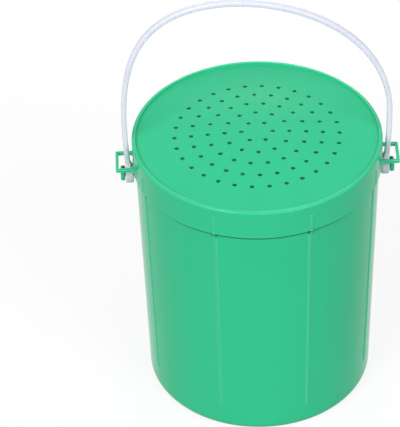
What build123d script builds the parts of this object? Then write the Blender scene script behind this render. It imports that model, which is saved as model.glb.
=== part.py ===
from build123d import *
import os
from math import cos, radians, sin, sqrt, tan

# Aerated bait bucket: a tapered tub, a push-on lid drilled with rings of air holes, and a carrying
# strap that turns on two rivets and runs up through a loop on each side of the lid.
#
# Millimetres, +Z up. The tub stands on Z = 0 with its axis on Z. The rivets and the lid's loops lie
# on X, so the strap stands in the XZ plane and swings about X.

# ---- driving dimensions ----

# tub
shoulder_radius = 58.7      # outer radius at the ledge just below the lid
tub_height = 138.7          # height of the neck's top edge
draft = 1.722               # taper of the wall, degrees a side
ledge_width = 0.4           # step in from the shoulder to the neck
ledge_round = 0.3
wall = 1.6
neck_wall = 1.2
floor_thickness = 2.0
base_round = 4.7            # outer radius of the bottom edge
foot_width = 6.0            # flat ring that the tub stands on
foot_depth = 1.2            # how far the base is raised inside that ring
tub_rib_radius = 0.9
tub_rib_proud = 0.5
tub_rib_start = 15.0        # height where the ribs begin

# lid
skirt_wall = 1.4
skirt_round = 0.3
skirt_drop = 15.3           # from the rim's top to the skirt's lower edge
rim_width = 1.7             # width of the raised rim
rim_rise = 1.45             # how far the rim stands above the edge of the panel
rim_round = 1.25            # rounds its outer edge
rim_inner_round = 0.35      # rounds its inner edge
crown = 3.3                 # how far the panel's middle stands above its edge
dome_inner_pull = 0.44      # where the dome's curve bends, as shares of the panel's radius
dome_outer_pull = 0.64
panel = 1.5                 # thickness of the perforated panel
hole_diameter = 2.2
hole_rings = 5
ring_pitch = 8.0
first_ring_radius = 7.5
holes_per_ring_step = 6     # ring n has n times as many holes
skirt_rib_radius = 0.7
skirt_rib_proud = 0.3
skirt_rib_length = 8.8

# loops on the lid's skirt
loop_reach = 8.1            # how far a loop stands out from the skirt
loop_width = 15.0
loop_bar = 1.5
loop_height = 1.5
loop_inset = 0.7            # from the skirt's lower edge up to the loop
loop_corner = 1.0
loop_root = 1.8             # fillet where the bars leave the skirt

# pivots
boss_diameter = 5.5
boss_reach = 0.8
shank_diameter = 3.4
rivet_head_diameter = 7.4
rivet_head_thickness = 2.0
rivet_head_crown = 0.3      # how far the head's middle stands out past its rim
rivet_head_round = 0.8
barb_diameter = 4.6
barb_length = 1.8
barb_tip_diameter = 2.6
barb_gap = 0.2              # between the barb and the inside of the wall

# strap
strap_thickness = 2.5       # measured in the plane of the arch
strap_width = 3.4
strap_corner = 0.8
hub_diameter = 9.6
hub_thickness = 3.8
hub_round = 0.7
flare_start = 1.5           # heights above the hinge axis
flare_inset = 0.15          # how far the flare's foot stays inside the hub's edge
flare_end = 7.0
arm_lean = 0.8              # how far the arms stand out past the hubs' middle at the flare's end
spring_height = 32.0        # height above the hinge axis where the arms turn into the arch
arm_bow = 0.9               # how far the arms bow out from there to the arch
arch_rise = 65.3
arch_shoulder = 7.3         # how far the arch's shoulders fill out past an ellipse
arch_sway = 10.8            # how far the soft strap's top has settled towards -X
arch_steps = 12             # tangent arcs in the arch

# patterns and clearances
rib_count = 8
fit_gap = 0.3               # running gap between pieces that move on each other
seam_gap = 0.25             # visible line between the skirt and the tub's ledge
press_gap = 0.05            # radial, rivet shank in its boss
pivot_gap = 0.1             # radial, strap hub on its rivet
hub_gap = 0.45              # from the hubs up to the lid's skirt

# ---- sizes that follow ----

seat_height = tub_height + fit_gap
panel_edge_height = seat_height + panel
rim_height = panel_edge_height + rim_rise
skirt_bottom = rim_height - skirt_drop
ledge_height = skirt_bottom - seam_gap
neck_radius = shoulder_radius - ledge_width
skirt_inner_radius = neck_radius + fit_gap
lid_radius = skirt_inner_radius + skirt_wall
panel_radius = lid_radius - rim_width

taper = tan(radians(draft))
base_radius = shoulder_radius - taper * ledge_height

loop_bottom = skirt_bottom + loop_inset
pivot_height = skirt_bottom - hub_gap - hub_diameter / 2
wall_at_pivot = base_radius + taper * pivot_height
boss_face = wall_at_pivot + boss_reach
hub_inner_face = boss_face + fit_gap
hub_middle = hub_inner_face + hub_thickness / 2
head_inner_face = hub_inner_face + hub_thickness + fit_gap
barb_face = wall_at_pivot - wall - barb_gap
loop_outer = lid_radius + loop_reach
arm_foot_x = hub_middle + arm_lean
arm_foot_z = pivot_height + flare_end
arch_half_width = arm_foot_x + arm_bow
flare_width = 2 * sqrt((hub_diameter / 2 - flare_inset) ** 2 - flare_start**2)

os.makedirs("parts", exist_ok=True)
SMALL = 0.01
BOTTOM = (Align.CENTER, Align.CENTER, Align.MIN)
LEFT = (Align.MIN, Align.CENTER)


def tub_radius(height):
    """Outer radius of the tapered wall at a height."""
    return base_radius + taper * height


def panel_curve(edge_height):
    """Bezier points of the domed panel, level at the middle and at the edge."""
    return (
        (0, edge_height + crown),
        (panel_radius * dome_inner_pull, edge_height + crown),
        (panel_radius * dome_outer_pull, edge_height),
        (panel_radius, edge_height),
    )


def arm_plane(arm):
    """Plane across an arm at its foot, with X across the strap's thickness."""
    return Plane(origin=arm @ 1, x_dir=(1, 0, 0), z_dir=-(arm % 1))


def arch_point(angle):
    """Point of the strap's middle line: half an ellipse, filled out and pushed sideways as it rises."""
    rise = sin(radians(angle))
    half_width = arch_half_width + arch_shoulder * rise**2
    across = half_width * cos(radians(angle)) - arch_sway * rise**2
    up = pivot_height + spring_height + arch_rise * rise
    return across, up


rib_foot = Plane(
    origin=(tub_radius(tub_rib_start) + tub_rib_proud - tub_rib_radius, 0, tub_rib_start),
    x_dir=(0, 1, 0),
    z_dir=(taper, 0, 1),
).location
rib_length = (ledge_height - tub_rib_start) * sqrt(1 + taper**2) - tub_rib_radius * taper
pivot_planes = [
    Plane(origin=(0, 0, pivot_height), x_dir=(0, 1, 0), z_dir=(side, 0, 0)).location
    for side in (-1, 1)
]


# ---- tub ----

with BuildPart() as bucket:
    with BuildSketch(Plane.XZ) as tub_section:
        with BuildLine():
            Polyline(
                (0, 0),
                (base_radius, 0),
                (shoulder_radius, ledge_height),
                (neck_radius, ledge_height),
                (neck_radius, tub_height),
                (0, tub_height),
                close=True,
            )
        make_face()
        fillet(tub_section.vertices().group_by(Axis.Y)[0].sort_by(Axis.X)[-1], base_round)
        fillet(tub_section.vertices().sort_by(Axis.X)[-1], ledge_round)
    revolve(axis=Axis.Z)

    # the ribs lie along the tapered wall, half sunk in it, and end at the ledge
    with PolarLocations(0, rib_count, start_angle=180 / rib_count):
        with Locations(rib_foot):
            Sphere(tub_rib_radius)
            Cylinder(tub_rib_radius, rib_length, align=BOTTOM)

    # bosses behind the strap's hubs
    with Locations(*pivot_planes):
        Cylinder(boss_diameter / 2, boss_face, align=BOTTOM)

    # inside: a tapered cavity, then the straight neck
    with Locations((0, 0, floor_thickness)):
        Cone(
            tub_radius(floor_thickness) - wall,
            shoulder_radius - wall,
            ledge_height - floor_thickness,
            align=BOTTOM,
            mode=Mode.SUBTRACT,
        )
    floor_edge = bucket.edges().filter_by(GeomType.CIRCLE).filter_by_position(
        Axis.Z, floor_thickness - SMALL, floor_thickness + SMALL
    )
    fillet(floor_edge, base_round - wall)
    with Locations((0, 0, ledge_height)):
        Cylinder(
            neck_radius - neck_wall,
            tub_height - ledge_height,
            align=BOTTOM,
            mode=Mode.SUBTRACT,
        )
    neck_edges = bucket.edges().filter_by(GeomType.CIRCLE).group_by(Axis.Z)[-1]
    fillet(neck_edges, neck_wall / 3)

    # raised base inside the standing ring
    Cylinder(
        base_radius - base_round - foot_width,
        foot_depth,
        align=BOTTOM,
        mode=Mode.SUBTRACT,
    )

    # rivet holes through both bosses
    with Locations((0, 0, pivot_height)):
        Cylinder(
            shank_diameter / 2 + press_gap,
            2 * boss_face,
            rotation=(0, 90, 0),
            mode=Mode.SUBTRACT,
        )

bucket.part.label = "bucket"
export_step(bucket.part, "parts/bucket.step")


# ---- lid ----

with BuildPart() as lid:
    with BuildSketch(Plane.XZ) as lid_section:
        with BuildLine():
            panel_top = Bezier(*panel_curve(panel_edge_height))
            rim_inside = Line(panel_top @ 1, (panel_radius, rim_height))
            rim_top = Line(rim_inside @ 1, (lid_radius, rim_height))
            skirt_outside = Line(rim_top @ 1, (lid_radius, skirt_bottom))
            skirt_edge = Line(skirt_outside @ 1, (skirt_inner_radius, skirt_bottom))
            skirt_inside = Line(skirt_edge @ 1, (skirt_inner_radius, seat_height))
            Line(skirt_inside @ 1, (panel_radius, seat_height))
            panel_under = Bezier(*panel_curve(seat_height))
            Line(panel_under @ 0, panel_top @ 0)
        make_face()
        for corner, rounding in ((-1, rim_round), (0, rim_inner_round)):
            rim_corners = lid_section.vertices().filter_by_position(
                Axis.Y, rim_height - SMALL, rim_height + SMALL
            )
            fillet(rim_corners.sort_by(Axis.X)[corner], rounding)
        skirt_corners = lid_section.vertices().group_by(Axis.Y)[0].sort_by(Axis.X)
        fillet(skirt_corners[-1], skirt_round)
    revolve(axis=Axis.Z)

    # thin ribs down the lower part of the skirt
    with PolarLocations(lid_radius + skirt_rib_proud - skirt_rib_radius, rib_count, 180 / rib_count):
        with Locations((0, 0, skirt_bottom)):
            Cylinder(skirt_rib_radius, skirt_rib_length, align=BOTTOM)
        with Locations((0, 0, skirt_bottom + skirt_rib_length)):
            Sphere(skirt_rib_radius)
    split(bisect_by=Plane.XY.offset(skirt_bottom), keep=Keep.TOP)

    # a flat rectangular loop on each side, level with the skirt's lower edge
    with BuildSketch(Plane.XY.offset(loop_bottom)) as loops:
        with PolarLocations(0, 2):
            with Locations((skirt_inner_radius, 0)):
                Rectangle(loop_outer - skirt_inner_radius, loop_width, align=LEFT)
        fillet(loops.vertices().group_by(Axis.X)[0] + loops.vertices().group_by(Axis.X)[-1], loop_corner)
        with PolarLocations(0, 2):
            with Locations((skirt_inner_radius, 0)):
                Rectangle(
                    loop_outer - loop_bar - skirt_inner_radius,
                    loop_width - 2 * loop_bar,
                    align=LEFT,
                    mode=Mode.SUBTRACT,
                )
    extrude(amount=loop_height)
    loop_roots = [
        edge
        for edge in lid.edges().filter_by(Axis.Z)
        if abs(edge.length - loop_height) < SMALL and abs(edge.center().X) < lid_radius
    ]
    fillet(loop_roots, loop_root)

    # air holes: every ring starts on +X
    with Locations((0, 0, rim_height + crown)):
        for ring in range(1, hole_rings + 1):
            radius = first_ring_radius + (ring - 1) * ring_pitch
            with PolarLocations(radius, ring * holes_per_ring_step):
                Hole(hole_diameter / 2)

lid.part.label = "lid"
export_step(lid.part, "parts/lid.step")


# ---- strap ----

with BuildPart() as handle:
    with Locations(*pivot_planes):
        with Locations((0, 0, hub_inner_face)):
            Cylinder(hub_diameter / 2, hub_thickness, align=BOTTOM)
    fillet(handle.edges().filter_by(GeomType.CIRCLE), hub_round)

    # middle line: left arm, arch, right arm
    with BuildLine(Plane.XZ) as middle_line:
        left_spring = arch_point(180)
        left_arm = TangentArc(left_spring, (-arm_foot_x, arm_foot_z), tangent=(0, -1))
        arc_start, direction = left_spring, (0, 1)
        for step in range(1, arch_steps + 1):
            arc = TangentArc(arc_start, arch_point(180 - step * 180 / arch_steps), tangent=direction)
            arc_start, direction = arc @ 1, arc % 1
        right_arm = TangentArc(arc_start, (arm_foot_x, arm_foot_z), tangent=direction)
    with BuildSketch(arm_plane(left_arm)):
        RectangleRounded(strap_thickness, strap_width, strap_corner)
    sweep(path=middle_line.wire())

    # each arm flares into its hub
    for side, arm in ((-1, left_arm), (1, right_arm)):
        with BuildSketch(Plane.XY.offset(pivot_height + flare_start)):
            with Locations((side * hub_middle, 0)):
                RectangleRounded(hub_thickness, flare_width, strap_corner)
        with BuildSketch(arm_plane(arm)):
            RectangleRounded(strap_thickness, strap_width, strap_corner)
        loft()

    # bores for the rivets
    with Locations((0, 0, pivot_height)):
        Cylinder(
            shank_diameter / 2 + pivot_gap,
            2 * loop_outer,
            rotation=(0, 90, 0),
            mode=Mode.SUBTRACT,
        )

handle.part.label = "handle"
export_step(handle.part, "parts/handle.step")


# ---- rivets ----

for name, side in (("rivet_left", -1), ("rivet_right", 1)):
    outward_and_up = Plane(origin=(0, 0, pivot_height), x_dir=(side, 0, 0), z_dir=(0, -side, 0))
    with BuildPart() as rivet:
        with BuildSketch(outward_and_up) as rivet_section:
            with BuildLine():
                head_rim = head_inner_face + rivet_head_thickness
                outline = Polyline(
                    (head_rim, rivet_head_diameter / 2),
                    (head_inner_face, rivet_head_diameter / 2),
                    (head_inner_face, shank_diameter / 2),
                    (barb_face, shank_diameter / 2),
                    (barb_face, barb_diameter / 2),
                    (barb_face - barb_length, barb_tip_diameter / 2),
                    (barb_face - barb_length, 0),
                    (head_rim + rivet_head_crown, 0),
                )
                TangentArc(outline @ 1, outline @ 0, tangent=(0, 1))
            make_face()
            fillet(rivet_section.vertices().group_by(Axis.Y)[-1], rivet_head_round)
        revolve(axis=Axis((0, 0, pivot_height), (1, 0, 0)))
    rivet.part.label = name
    export_step(rivet.part, f"parts/{name}.step")
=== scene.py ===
# %% [markdown]
# # An aerated bait bucket
# Three mouldings and two rivets: a green tub, a green lid full of air holes, and a milky strap that
# swings on the rivets and runs up through a loop on each side of the lid. The shapes come with the
# frame, so this lesson is about what the eye adds to them: moulded plastic that looks moulded, a
# strap that light gets into, a pale table and soft light.

import math

import bpy
from mathutils import Matrix, Vector

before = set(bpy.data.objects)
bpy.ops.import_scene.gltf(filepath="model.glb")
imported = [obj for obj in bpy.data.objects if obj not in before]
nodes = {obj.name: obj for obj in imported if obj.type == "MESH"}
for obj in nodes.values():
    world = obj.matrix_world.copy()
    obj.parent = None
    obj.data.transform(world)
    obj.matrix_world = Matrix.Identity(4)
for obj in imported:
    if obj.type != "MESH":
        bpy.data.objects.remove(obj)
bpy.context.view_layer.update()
scene = bpy.context.scene
print("nodes:", sorted(nodes))

# %% [markdown]
# ## The camera
# The camera looks down on the bucket at about 39 degrees from well back, so the lid is a broad
# ellipse and the sides hardly converge. A camera's matrix holds its right, up and backward
# directions as columns, so a place, an elevation, a turn about Z and a roll are enough to build it.
# A Track To constraint could aim it as well, but it needs a target and leaves no room for the roll.

# %% Place the camera
IMAGE_WIDTH, IMAGE_HEIGHT = 400, 427
FOCAL_PIXELS = 3052.35          # focal length, in pixels of that frame
PRINCIPAL_X, PRINCIPAL_Y = 200.60, 213.09       # the pixel straight ahead of the lens
CAMERA_PLACE = (-0.02794, -1.15755, 1.02887)
ELEVATION = 38.9106             # degrees that the camera looks down
ROLL = 1.5164                   # degrees that it leans
TURN = 0.8                      # degrees that it stands to one side
SENSOR = 36.0                   # millimetres


def camera_matrix():
    """Columns right, up and backward, turned by ROLL about the view and by -TURN about Z."""
    elevation, roll = math.radians(ELEVATION), math.radians(ROLL)
    forward = Vector((0, math.cos(elevation), -math.sin(elevation)))
    right = Vector((1, 0, 0))
    up = right.cross(forward)
    rolled_right = right * math.cos(roll) - up * math.sin(roll)
    rolled_up = right * math.sin(roll) + up * math.cos(roll)
    basis = Matrix((rolled_right, rolled_up, -forward)).transposed().to_4x4()
    place = Matrix.Translation(CAMERA_PLACE)
    return Matrix.Rotation(math.radians(-TURN), 4, "Z") @ place @ basis


camera_data = bpy.data.cameras.new("camera")
camera_data.sensor_fit = "HORIZONTAL"
camera_data.sensor_width = SENSOR
camera_data.lens = FOCAL_PIXELS * SENSOR / IMAGE_WIDTH
camera_data.shift_x = (IMAGE_WIDTH / 2 - PRINCIPAL_X) / IMAGE_WIDTH
camera_data.shift_y = (PRINCIPAL_Y - IMAGE_HEIGHT / 2) / IMAGE_WIDTH
camera_data.clip_end = 20
camera = bpy.data.objects.new("camera", camera_data)
camera.matrix_world = camera_matrix()
scene.collection.objects.link(camera)
scene.camera = camera
print("lens:", round(camera_data.lens, 1), "mm on a", SENSOR, "mm sensor")

# %% [markdown]
# ## A small kit for node materials
# Every finish below is a node tree. These helpers keep each material short enough to read: one adds
# a node and fills its sockets by name, others do arithmetic, stretch a range of values to another,
# blend two colours by a factor, or read noise.

# %% Node helpers
class Finish:
    """A material's node tree, with short ways to add nodes to it."""

    def __init__(self, name):
        self.material = bpy.data.materials.new(name)
        self.material.use_nodes = True
        self.tree = self.material.node_tree
        self.shader = self.tree.nodes["Principled BSDF"]
        self.output = self.tree.nodes["Material Output"]

    def add(self, kind, settings=None, **sockets):
        """Adds a node, sets its properties, then fills its sockets with values or links."""
        node = self.tree.nodes.new(kind)
        for name, value in (settings or {}).items():
            setattr(node, name, value)
        for name, value in sockets.items():
            self.fill(node.inputs[name.replace("_", " ")], value)
        return node

    def fill(self, socket, value):
        """Puts a constant in a socket, or links another node's output to it."""
        if isinstance(value, bpy.types.NodeSocket):
            self.tree.links.new(value, socket)
        else:
            socket.default_value = value

    def math(self, operation, first, second=0.0):
        """One arithmetic step on two values."""
        node = self.tree.nodes.new("ShaderNodeMath")
        node.operation = operation
        self.fill(node.inputs[0], first)
        self.fill(node.inputs[1], second)
        return node.outputs[0]

    def stretch(self, value, low, high, to_low=0.0, to_high=1.0):
        """Maps low..high to to_low..to_high, clamped."""
        node = self.add("ShaderNodeMapRange", From_Min=low, From_Max=high)
        self.fill(node.inputs["To Min"], to_low)
        self.fill(node.inputs["To Max"], to_high)
        self.fill(node.inputs["Value"], value)
        return node.outputs["Result"]

    def blend(self, factor, first, second):
        """Mixes two colours by a factor."""
        node = self.tree.nodes.new("ShaderNodeMix")
        node.data_type = "RGBA"
        self.fill(node.inputs["Factor"], factor)
        self.fill(node.inputs["A"], first)
        self.fill(node.inputs["B"], second)
        return node.outputs["Result"]

    def vector_math(self, operation, first, second=None):
        """One step on whole vectors, such as DOT_PRODUCT, LENGTH or NORMALIZE."""
        node = self.tree.nodes.new("ShaderNodeVectorMath")
        node.operation = operation
        self.fill(node.inputs[0], first)
        if second is not None:
            self.fill(node.inputs[1], second)
        return node

    def noise(self, vector, scale, detail=2.0, roughness=0.5):
        """Noise from 0 to 1, whose patches are about 1/scale metres across."""
        node = self.add("ShaderNodeTexNoise", Scale=scale, Detail=detail, Roughness=roughness)
        self.fill(node.inputs["Vector"], vector)
        return node.outputs["Fac"]


print("helpers ready:", [name for name in vars(Finish) if not name.startswith("_")])

# %% [markdown]
# ## Green polypropylene
# Tub, lid and rivets are injection moulded in one green polypropylene. Close up such plastic is
# never one flat colour: the pigment is a little richer along the lines the melt ran in, from the
# axis out along the floor or panel and then down or up the wall. A Wave texture could draw lines
# too, but they would be regular. Here they are a noise read in odd coordinates. Around the axis we
# read it along the unit vector (x, y) / radius, which closes on itself without a seam. Along the
# flow we read it very slowly, so its patches become streaks.

# %% Measures of the green plastic
GREEN_DEEP = (0.0290, 0.553, 0.267, 1)          # along a rich flow line
GREEN_PALE = (0.0310, 0.563, 0.275, 1)          # along a poor one
# painted highlight: a paler green painted onto edges and thin places
GREEN_PAINTED_HIGHLIGHT = (0.1700, 0.860, 0.560, 1)          # where it is thin or rounded
# painted shade: darker, purer greens painted into the air holes and the seam under the lid
HOLE_PAINTED_SHADE = (0.0003, 0.065, 0.010, 1)          # down in the air holes
SEAM_PAINTED_SHADE = (0.0003, 0.140, 0.034, 1)          # in the seam under the lid
NOISE_SPAN = (0.3, 0.7)         # most values of a noise lie between these
RICH_SPAN = (0.75, 1.25)        # and those of two noises added, between these
STREAKS = 5.0                   # streaks read along a radius of the unit circle
STREAK_RATE = 14.0              # how quickly streaks change along the flow, per metre
CLOUD_SCALE = 24.0              # patches about 40 mm across
PEEL_SCALE = 240.0              # the slight waviness that a mould leaves, about 4 mm
PEEL_HEIGHT = 0.000012          # and how high its waves stand, in metres
SATIN_SCALE = 1800.0            # the fine satin of the mould's steel, about half a millimetre
SATIN_HEIGHT = 0.0000016        # and its height
print("green:", GREEN_DEEP[:3], "to", GREEN_PALE[:3])


# %% Flow lines
def across_axis(finish, parts):
    """(x, y, 0) of a place that is already split in its parts."""
    flat = finish.add("ShaderNodeCombineXYZ", X=parts.outputs["X"], Y=parts.outputs["Y"])
    return flat.outputs["Vector"]


def from_axis(finish, place):
    """How far a point is from the part's axis, the length of (x, y)."""
    parts = finish.add("ShaderNodeSeparateXYZ", Vector=place)
    return finish.vector_math("LENGTH", across_axis(finish, parts)).outputs["Value"]


def flow_lines(finish, place):
    """Noise at (x, y) / radius * STREAKS, with (radius + height) * STREAK_RATE as third axis."""
    parts = finish.add("ShaderNodeSeparateXYZ", Vector=place)
    outward = finish.vector_math("NORMALIZE", across_axis(finish, parts)).outputs["Vector"]
    around = finish.add("ShaderNodeSeparateXYZ", Vector=outward)
    travel = finish.math("ADD", from_axis(finish, place), parts.outputs["Z"])
    lines = finish.add(
        "ShaderNodeCombineXYZ",
        X=finish.math("MULTIPLY", around.outputs["X"], STREAKS),
        Y=finish.math("MULTIPLY", around.outputs["Y"], STREAKS),
        Z=finish.math("MULTIPLY", travel, STREAK_RATE),
    )
    return finish.noise(lines.outputs["Vector"], 1.0, detail=2.0, roughness=0.45)


print("flow lines: about", round(2 * math.pi * STREAKS), "around the axis")


# %% [markdown]
# ## Hairlines
# Handling leaves short hairlines that only show where the gloss breaks. A noise squeezed hard in
# two directions and drawn out in the third turns into such lines once everything but its highest
# values is cut away. Three of them, each turned its own way, are enough for lines all over, and
# unlike painted scratches they stay sharp from any distance.

# %% Hairlines
HAIRLINE_TURNS = ((0.3, 0.2, 0.5), (0.1, -0.4, 2.1), (-0.3, 0.5, -0.9))
HAIRLINE_SCALE = (1500.0, 70.0, 1500.0)         # under a millimetre wide, 14 mm long
HAIRLINE_CUT = (0.705, 0.745)   # height of the noise where a line begins, and where it is full


def hairlines(finish, place):
    """Highest of three drawn-out noises, each turned its own way and cut to its peaks."""
    lines = 0.0
    for turn in HAIRLINE_TURNS:
        drawn = finish.add("ShaderNodeMapping", Vector=place, Rotation=turn, Scale=HAIRLINE_SCALE)
        peaks = finish.noise(drawn.outputs["Vector"], 1.0, detail=1.0)
        lines = finish.math("MAXIMUM", finish.stretch(peaks, *HAIRLINE_CUT), lines)
    return lines


print("hairlines:", len(HAIRLINE_TURNS), "directions, cut at", HAIRLINE_CUT)

# %% [markdown]
# ## Painted highlight on edges and thin places
# A moulded edge is never sharp, and where plastic is thin, light gets through and it looks paler.
# Here edges and thin places get a paler green painted on, a painted highlight in the colour.
# The Bevel node gives the normal that a rounded edge would have, which also softens the highlights
# there, and where it leaves the true normal we know that we are at an edge. The Ambient Occlusion
# node, turned inwards, finds what is narrow: a short ray sent into a rib, the rim or a loop soon
# comes out at its other side. The walls themselves are too thick for that. A Bevel modifier would
# round the mesh itself, but these meshes come with the frame and stay as they are.

# %% Painted highlight on edges and thin places
LID_EDGE = 0.00025              # how far the lid's edges look rounded
TUB_EDGE = 0.0012               # more on the tub, whose ribs run out softly into the wall
EDGE_TURN = (0.98, 0.75)        # cosines of the turn where the edge begins, and where it is full
THIN_REACH = 0.0006             # length of the rays that look for thin places
THIN_RAYS = (0.97, 0.60)        # share of them that stay inside: where thin begins, and is full
HOLE_FIELD = (0.045, 0.047)     # distance from the axis where the air holes end


def soft_edges(finish, radius):
    """The normal of an edge rounded by radius, and a factor from 0 on a face to 1 at an edge."""
    rounded = finish.add("ShaderNodeBevel", {"samples": 6}, Radius=radius)
    face = finish.add("ShaderNodeNewGeometry")
    normal = rounded.outputs["Normal"]
    agreement = finish.vector_math("DOT_PRODUCT", normal, face.outputs["Normal"])
    return normal, finish.stretch(agreement.outputs["Value"], *EDGE_TURN)


def thin_places(finish, place):
    """1 where many short inward rays come out again, but 0 between the air holes."""
    inward = {"samples": 8, "inside": True}
    thickness = finish.add("ShaderNodeAmbientOcclusion", inward, Distance=THIN_REACH)
    thin = finish.stretch(thickness.outputs["AO"], *THIN_RAYS)
    beyond_holes = finish.stretch(from_axis(finish, place), *HOLE_FIELD)
    return finish.math("MULTIPLY", thin, beyond_holes)


print("edges: lid", 1000 * LID_EDGE, "mm, tub", 1000 * TUB_EDGE, "mm")

# %% [markdown]
# ## Painted shade in recesses
# Inside an air hole, and in the seam where the lid's skirt ends against the tub, shade is painted
# into the colour: light that gets in there has met green plastic a few times on its way, so the
# painted shade is not just darker but purer green. The same node turned outwards tells how open a
# point is within a couple of millimetres.
# It sees the pieces as they are, the lid over the tub included, which a colour stored in the mesh
# wouldn't. Left alone it would also paint shade along each rib and the foot of the rim, which the
# real plastic hardly shows, so each moulding says where its painted shade counts.

# %% Painted shade in recesses
# Where the painted shade goes, read from how open each point is
RECESS_REACH = 0.0020           # how far across a hole, gap or corner is still a recess
HOLE_OPEN = (0.85, 0.55)        # openness where a hole's deeper green begins, and where it is full
SEAM_OPEN = (0.99, 0.91)        # the same for the seam, which is much more open
RIM_FOOT_SHARE = 0.06           # how much of it the foot of the rim takes
SEAM_FOOT = (0.1235, 0.1243)    # heights between which the seam's shade begins


def recess_shade_mask(finish, open_above, deep_below):
    """Mask for painted shade: 0 where more open than open_above, 1 where less open than deep_below.
    """
    openness = finish.add("ShaderNodeAmbientOcclusion", {"samples": 8}, Distance=RECESS_REACH)
    return finish.stretch(openness.outputs["AO"], open_above, deep_below)


def lid_painted_shade(finish, place):
    """Painted shade in the air holes in full, and a little at the rim's foot."""
    share = finish.stretch(from_axis(finish, place), *HOLE_FIELD, 1.0, RIM_FOOT_SHARE)
    return finish.math("MULTIPLY", recess_shade_mask(finish, *HOLE_OPEN), share)


def tub_painted_shade(finish, place):
    """Painted shade in the seam under the lid in full, and none below it."""
    height = finish.add("ShaderNodeSeparateXYZ", Vector=place).outputs["Z"]
    share = finish.stretch(height, *SEAM_FOOT)
    return finish.math("MULTIPLY", recess_shade_mask(finish, *SEAM_OPEN), share)


print("recesses: up to", 1000 * RECESS_REACH, "mm across")

# %% [markdown]
# ## The green finish
# Moulded polypropylene is a clear, slightly soft resin with pigment in it, so it takes one shader:
# a green base, a semi-gloss surface and a little light that wanders under the skin. A diffuse and
# a glossy shader mixed by hand would do, but the Principled shader keeps their sum right. Most of
# what tells the eye "plastic" is the pale edge that the surroundings draw round it at grazing
# angles, which comes by itself as long as there is something pale to reflect. Facing the eye, this
# green hardly mirrors anything, so its specular level is low. The lid comes from a better polished
# mould than the tub and gets a little more.

# %% Green finish
LID_SHINE = 0.16                # specular level, where 0.5 is usual
TUB_SHINE = 0.12
PAINTED_HIGHLIGHT_SHARE = 0.8                # how much of the paler green an edge or thin place takes
GREEN_GLOSS = (0.15, 0.18)      # roughness, from one flow line to the next
GREEN_MARKS = 0.05              # how much rougher a hairline is
GREEN_IOR = 1.49
GREEN_MILK = 0.05               # share of the light that wanders under the skin
GREEN_SPREAD = (0.4, 1.0, 0.6)  # how far its red, green and blue get, as shares of SKIN_DEPTH
SKIN_DEPTH = 0.0015             # how deep light wanders, in metres


def green_plastic(name, painted_shade, shade_green, shine, edge_radius):
    """Semi-gloss plastic: flow lines, waviness, satin, hairlines, painted highlight and painted
    shade.

    painted_shade gives the factor by which shade_green is painted in as shade, shine is the
    specular level, and edge_radius how far edges look rounded."""
    finish = Finish(name)
    place = finish.add("ShaderNodeTexCoord").outputs["Object"]
    cloud = finish.noise(place, CLOUD_SCALE)
    flow = flow_lines(finish, place)
    richness = finish.stretch(finish.math("ADD", cloud, flow), *RICH_SPAN)
    colour = finish.blend(richness, GREEN_DEEP, GREEN_PALE)
    normal, edge = soft_edges(finish, edge_radius)
    # painted highlight: edges and thin places get a paler green
    painted_highlight = finish.math("MAXIMUM", edge, thin_places(finish, place))
    colour = finish.blend(finish.math("MULTIPLY", painted_highlight, PAINTED_HIGHLIGHT_SHARE), colour, GREEN_PAINTED_HIGHLIGHT)
    # painted shade: a darker, purer green painted into the recesses
    colour = finish.blend(painted_shade(finish, place), colour, shade_green)

    marks = hairlines(finish, place)
    gloss = finish.stretch(flow, *NOISE_SPAN, *GREEN_GLOSS)
    gloss = finish.math("ADD", gloss, finish.math("MULTIPLY", marks, GREEN_MARKS))

    peel = finish.noise(place, PEEL_SCALE)
    satin = finish.noise(place, SATIN_SCALE)
    waves = finish.add("ShaderNodeBump", Height=peel, Distance=PEEL_HEIGHT, Normal=normal)
    grain = finish.add("ShaderNodeBump", Height=satin, Distance=SATIN_HEIGHT)
    finish.fill(grain.inputs["Normal"], waves.outputs["Normal"])

    finish.fill(finish.shader.inputs["Base Color"], colour)
    finish.fill(finish.shader.inputs["Roughness"], gloss)
    finish.fill(finish.shader.inputs["Normal"], grain.outputs["Normal"])
    finish.fill(finish.shader.inputs["IOR"], GREEN_IOR)
    finish.fill(finish.shader.inputs["Specular IOR Level"], shine)
    finish.fill(finish.shader.inputs["Subsurface Weight"], GREEN_MILK)
    finish.fill(finish.shader.inputs["Subsurface Radius"], GREEN_SPREAD)
    finish.fill(finish.shader.inputs["Subsurface Scale"], SKIN_DEPTH)
    return finish.material


lid_green = green_plastic("moulded_green_lid", lid_painted_shade, HOLE_PAINTED_SHADE, LID_SHINE, LID_EDGE)
tub_green = green_plastic("moulded_green_tub", tub_painted_shade, SEAM_PAINTED_SHADE, TUB_SHINE, TUB_EDGE)
print("made:", lid_green.name, "and", tub_green.name)


# %% Dress the green pieces
def dress(node, material):
    """Gives a node that came with the frame this finish on all its slots."""
    piece = nodes[node]
    for slot in piece.material_slots:
        slot.material = material
    print(node, "is", material.name)


dress("lid", lid_green)
for node in ("bucket", "rivet_left", "rivet_right"):
    dress(node, tub_green)

# %% [markdown]
# ## Milky strap
# The strap is soft, unpigmented polyethylene: not clear and not white, but milky. Light enters it,
# scatters and comes out somewhere else, so it is bright with a cool cast, and where it lies on the
# green it borrows some of the green. A plain white would look like paint, and a clear one like
# glass. Subsurface scattering makes the milk, and a trace of transmission keeps it light at the
# edges. Those are rounded in the mesh already, so it needs no Bevel node.

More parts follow.
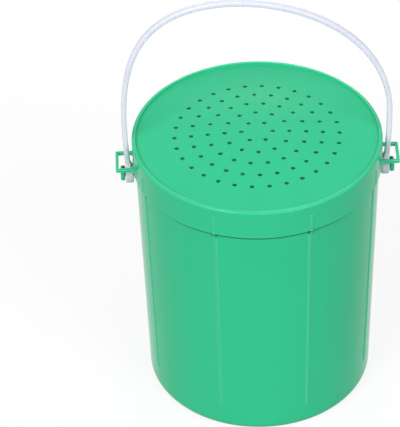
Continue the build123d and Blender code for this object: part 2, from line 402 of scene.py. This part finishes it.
# %% Strap finish
MILK_COOL = (0.775, 0.790, 0.915, 1)
MILK_CLEAR = (0.795, 0.810, 0.935, 1)
MILK_SCALE = 130.0              # cloudy patches about 8 mm across
MILK_SPAN = (0.35, 0.65)        # values of their noise that go from cool to clear
STRAP_PEEL_SCALE = 480.0        # waviness of about 2 mm, finer than the stiffer green's
MILK_GLOSS = (0.30, 0.38)       # roughness, from one patch to the next
MILK_MARKS = 0.04               # how much rougher a hairline is
MILK_IOR = 1.5
MILK_SHINE = 0.25               # specular level
MILK_CLEARNESS = 0.04           # share of the light that passes straight on
MILK_SHARE = 0.4                # share of the rest that wanders under the skin
MILK_SPREAD = (0.9, 0.95, 1.0)  # how far its red, green and blue get, as shares of SKIN_DEPTH


def milky_plastic(name):
    """Cloudy, cool, half-translucent plastic with a smooth soft surface."""
    finish = Finish(name)
    place = finish.add("ShaderNodeTexCoord").outputs["Object"]
    cloud = finish.noise(place, MILK_SCALE, detail=3.0)
    colour = finish.blend(finish.stretch(cloud, *MILK_SPAN), MILK_COOL, MILK_CLEAR)
    marks = hairlines(finish, place)
    gloss = finish.stretch(cloud, *NOISE_SPAN, *MILK_GLOSS)
    gloss = finish.math("ADD", gloss, finish.math("MULTIPLY", marks, MILK_MARKS))
    peel = finish.noise(place, STRAP_PEEL_SCALE)
    waves = finish.add("ShaderNodeBump", Height=peel, Distance=PEEL_HEIGHT)
    finish.fill(finish.shader.inputs["Base Color"], colour)
    finish.fill(finish.shader.inputs["Roughness"], gloss)
    finish.fill(finish.shader.inputs["Normal"], waves.outputs["Normal"])
    finish.fill(finish.shader.inputs["IOR"], MILK_IOR)
    finish.fill(finish.shader.inputs["Specular IOR Level"], MILK_SHINE)
    finish.fill(finish.shader.inputs["Transmission Weight"], MILK_CLEARNESS)
    finish.fill(finish.shader.inputs["Subsurface Weight"], MILK_SHARE)
    finish.fill(finish.shader.inputs["Subsurface Radius"], MILK_SPREAD)
    finish.fill(finish.shader.inputs["Subsurface Scale"], SKIN_DEPTH)
    return finish.material


dress("handle", milky_plastic("milky_strap"))

# %% [markdown]
# ## Floor and surroundings
# The floor and the world have two jobs that pull apart. As lighting they should be plain, so that a
# colour comes out about as it was written. As background they should be white. Light Path tells the
# kinds of ray apart: rays from the camera, and rays that a gloss or a clear piece throws on, see
# white, and only the diffuse rays that carry light use the plain level. More light would whiten
# the floor too, but it would bleach the plastic with it. The floor keeps a part of its own shading,
# and with it the shadow of the bucket.

# %% Rays that see the background
def sees_background(tree):
    """1 for camera, glossy and transmission rays, 0 for the diffuse rays that carry light."""
    path = tree.nodes.new("ShaderNodeLightPath")
    seen = path.outputs["Is Camera Ray"]
    for name in ("Is Glossy Ray", "Is Transmission Ray"):
        either = tree.nodes.new("ShaderNodeMath")
        either.operation = "MAXIMUM"
        tree.links.new(seen, either.inputs[0])
        tree.links.new(path.outputs[name], either.inputs[1])
        seen = either.outputs[0]
    return seen


# %% Floor
FLOOR_SIZE = 8.0                # metres
FLOOR_DROP = 0.00005            # keeps it from sharing a plane with the standing ring
FLOOR_LIT = (0.38, 0.38, 0.38, 1)               # its colour for the light that it throws back
FLOOR_SEEN = (0.94, 0.94, 0.94, 1)              # its colour as background
FLOOR_WHITE = 0.85              # how much of what the camera sees of the floor is plain white


def pale_floor():
    """A large plane whose diffuse shading is mixed with white where the background is seen."""
    bpy.ops.mesh.primitive_plane_add(size=FLOOR_SIZE, location=(0, 0, -FLOOR_DROP))
    floor = bpy.context.object
    floor.name = "floor"
    finish = Finish("pale_floor")
    finish.tree.nodes.remove(finish.shader)
    seen = sees_background(finish.tree)
    matt = finish.add("ShaderNodeBsdfDiffuse", Color=finish.blend(seen, FLOOR_LIT, FLOOR_SEEN))
    white = finish.add("ShaderNodeEmission", Color=(1, 1, 1, 1), Strength=1.0)
    share = finish.math("MULTIPLY", seen, FLOOR_WHITE)
    mixed = finish.add("ShaderNodeMixShader", Fac=share)
    finish.fill(mixed.inputs[1], matt.outputs["BSDF"])
    finish.fill(mixed.inputs[2], white.outputs["Emission"])
    finish.fill(finish.output.inputs["Surface"], mixed.outputs["Shader"])
    floor.data.materials.append(finish.material)
    return floor


pale_floor()
print("floor:", FLOOR_SIZE, "m across")

# %% World
WORLD_LIGHT = 0.43              # level for the rays that carry light
WORLD_WHITE = 1.0               # level for the rays that see the background

world = bpy.data.worlds.new("studio")
world.use_nodes = True
scene.world = world
level = world.node_tree.nodes.new("ShaderNodeMapRange")
level.inputs["To Min"].default_value = WORLD_LIGHT
level.inputs["To Max"].default_value = WORLD_WHITE
world.node_tree.links.new(sees_background(world.node_tree), level.inputs["Value"])
surroundings = world.node_tree.nodes["Background"]
surroundings.inputs["Color"].default_value = (1, 1, 1, 1)
world.node_tree.links.new(level.outputs["Result"], surroundings.inputs["Strength"])
print("world:", WORLD_LIGHT, "for light,", WORLD_WHITE, "as background")

# %% [markdown]
# ## Three soft lamps
# Small plastic goods are mostly lit by two softboxes, one to each side of the camera, and a weaker
# one behind. Area lamps would be the literal copy, but their light falls off across the floor. Sun
# lamps with wide discs light all of it evenly. The front two each draw a short highlight on the
# front of the lid's rim, and the left one is a little stronger, so that the wall still turns from
# light to shade. The one behind stands low, where the lid doesn't mirror it, and keeps the back of
# the bucket from going dull.

# %% Lamps
# For each: degrees from the front, degrees up, brightness of a white face turned to it.
LAMPS = {
    "lamp_left": (-37.0, 38.0, 0.56),
    "lamp_right": (37.0, 38.0, 0.38),
    "lamp_back": (176.0, 7.0, 0.34),
}
LAMP_ANGLE = 28.0               # width of each disc, in degrees

for name, (turn, elevation, brightness) in LAMPS.items():
    lamp_data = bpy.data.lights.new(name, "SUN")
    lamp_data.energy = math.pi * brightness
    lamp_data.angle = math.radians(LAMP_ANGLE)
    lamp = bpy.data.objects.new(name, lamp_data)
    lamp.rotation_euler = (math.radians(90 - elevation), 0, math.radians(turn))
    scene.collection.objects.link(lamp)
scene.view_settings.view_transform = "Standard"
print("lamps:", LAMPS)
